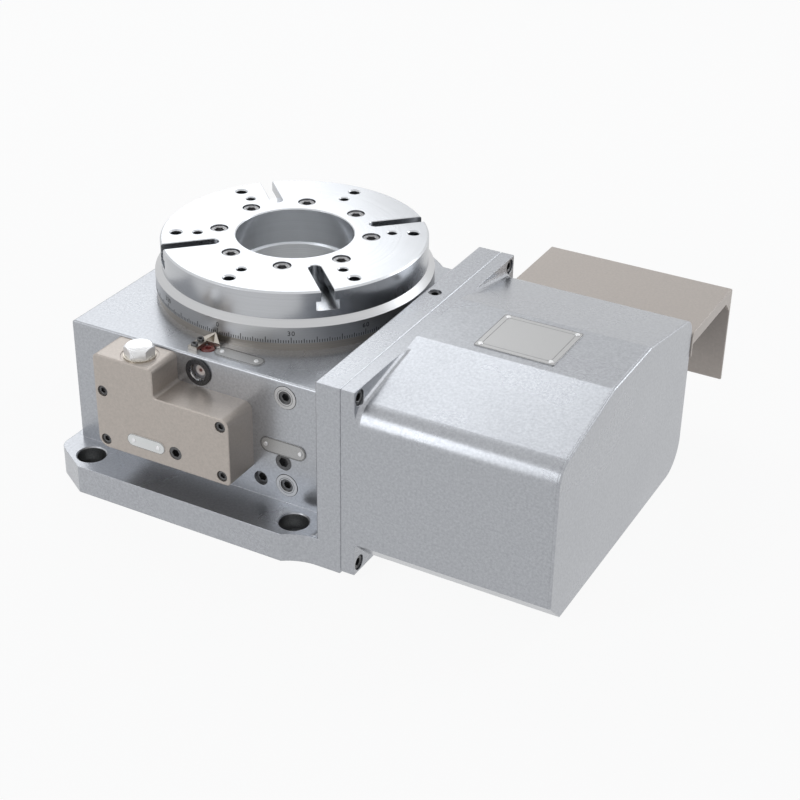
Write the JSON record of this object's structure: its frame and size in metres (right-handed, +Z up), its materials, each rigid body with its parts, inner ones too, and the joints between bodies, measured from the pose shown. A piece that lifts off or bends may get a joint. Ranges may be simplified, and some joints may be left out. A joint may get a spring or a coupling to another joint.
{
  "type": "cnc rotary table",
  "caption": "CNC rotary table with a T-slotted plate over a graduated ring, a cast body with a hold-down foot, a motor cover beside it and a hydraulic block in front.",
  "frame": {"origin": "on the table's axis at the base plane", "axes": "+Z up along the table's axis, +X towards the motor cover, -Y towards the manifold block"},
  "size_m": [0.5065, 0.4135, 0.206],
  "materials": {
    "painted_casting": "silver-grey metallic paint, fine grain, semi-gloss",
    "machined_steel": "face-turned and ground, bright",
    "bearing_steel": "ground, oiled",
    "plated_steel": "bright plated",
    "cast_iron": "machined grey iron",
    "bronze": "machined bronze",
    "seal_brown": "brown, satin",
    "tan_block": "tan metallic paint, satin",
    "taupe_sheet": "taupe paint, satin",
    "black_oxide": "black oxide, satin",
    "motor_black": "black paint, satin",
    "seal_rubber": "moulded",
    "label_silver": "bare aluminium, satin",
    "label_white": "white, smooth",
    "lens_glass": "clear, polished",
    "red_lacquer": "red sealing lacquer over steel"
  },
  "bodies": {
    "housing": {"base_cover": "cast_iron", "bearing_outer_ring": "bearing_steel", "bearing_rollers": "bearing_steel", "block_label": "label_white", "brake_cylinder": "cast_iron", "brake_stator": "cast_iron", "cap_screws_m4": "black_oxide", "cap_screws_m5": "black_oxide", "cap_screws_m6": "black_oxide", "cap_screws_m8": "black_oxide", "connector_hood": "taupe_sheet", "connectors": "motor_black", "cover_studs": "bearing_steel", "end_plate": "painted_casting", "index_pointer": "plated_steel", "label_rivets": "plated_steel", "main_casting": "painted_casting", "manifold_block": "tan_block", "motor_body": "motor_black", "motor_cover": "painted_casting", "motor_flange": "motor_black", "motor_pillars": "bearing_steel", "motor_plate": "bearing_steel", "motor_rear_cap": "motor_black", "nameplate": "label_silver", "oblong_labels": "label_silver", "port_bushes": "plated_steel", "port_plug": "plated_steel", "port_plug_washer": "bronze", "seal_ring": "seal_brown", "sealed_plug": "red_lacquer", "sight_glass_bezel": "black_oxide", "sight_glass_lens": "lens_glass", "sight_glass_reflector": "label_silver", "socket_plugs": "black_oxide", "stud_nuts": "bearing_steel", "worm_bearing_balls": "bearing_steel", "worm_bearing_outers": "bearing_steel", "worm_end_cap": "cast_iron", "worm_seal_cap": "cast_iron"},
    "table": {"table_plate": "machined_steel", "table_screws": "black_oxide", "graduated_ring": "machined_steel", "ring_screws": "black_oxide", "spindle": "bearing_steel", "bearing_inner_ring": "bearing_steel", "bearing_lower_washer": "bearing_steel", "worm_wheel": "bronze", "wheel_key": "bearing_steel", "spindle_nut": "bearing_steel", "brake_disc": "bearing_steel"},
    "worm": {"worm_shaft": "bearing_steel", "driven_gear": "bearing_steel", "shaft_nuts": "bearing_steel", "worm_bearing_inners": "bearing_steel"},
    "motor": {"motor_shaft": "bearing_steel", "motor_pinion": "bearing_steel"},
    "piston": {"brake_piston": "bearing_steel", "piston_seals": "seal_rubber"}
  },
  "joints": [
    {"name": "table_spin", "type": "hinge", "parent": "housing", "child": "table", "pos_m": [0, 0, 0.1], "axis": [0, 0, 1], "continuous": true},
    {"name": "worm_spin", "type": "hinge", "parent": "housing", "child": "worm", "pos_m": [0, -0.112, 0.074], "axis": [1, 0, 0], "continuous": true},
    {"name": "motor_spin", "type": "hinge", "parent": "housing", "child": "motor", "pos_m": [0.2, -0.04694, 0.092], "axis": [1, 0, 0], "continuous": true},
    {"name": "brake_slide", "type": "slide", "parent": "housing", "child": "piston", "axis": [0, 0, 1], "range_m": [0, 0.00045]}
  ],
  "couplings": [
    {"joint": "worm_spin", "follows": "table_spin", "ratio": -90},
    {"joint": "motor_spin", "follows": "table_spin", "ratio": 180}
  ]
}
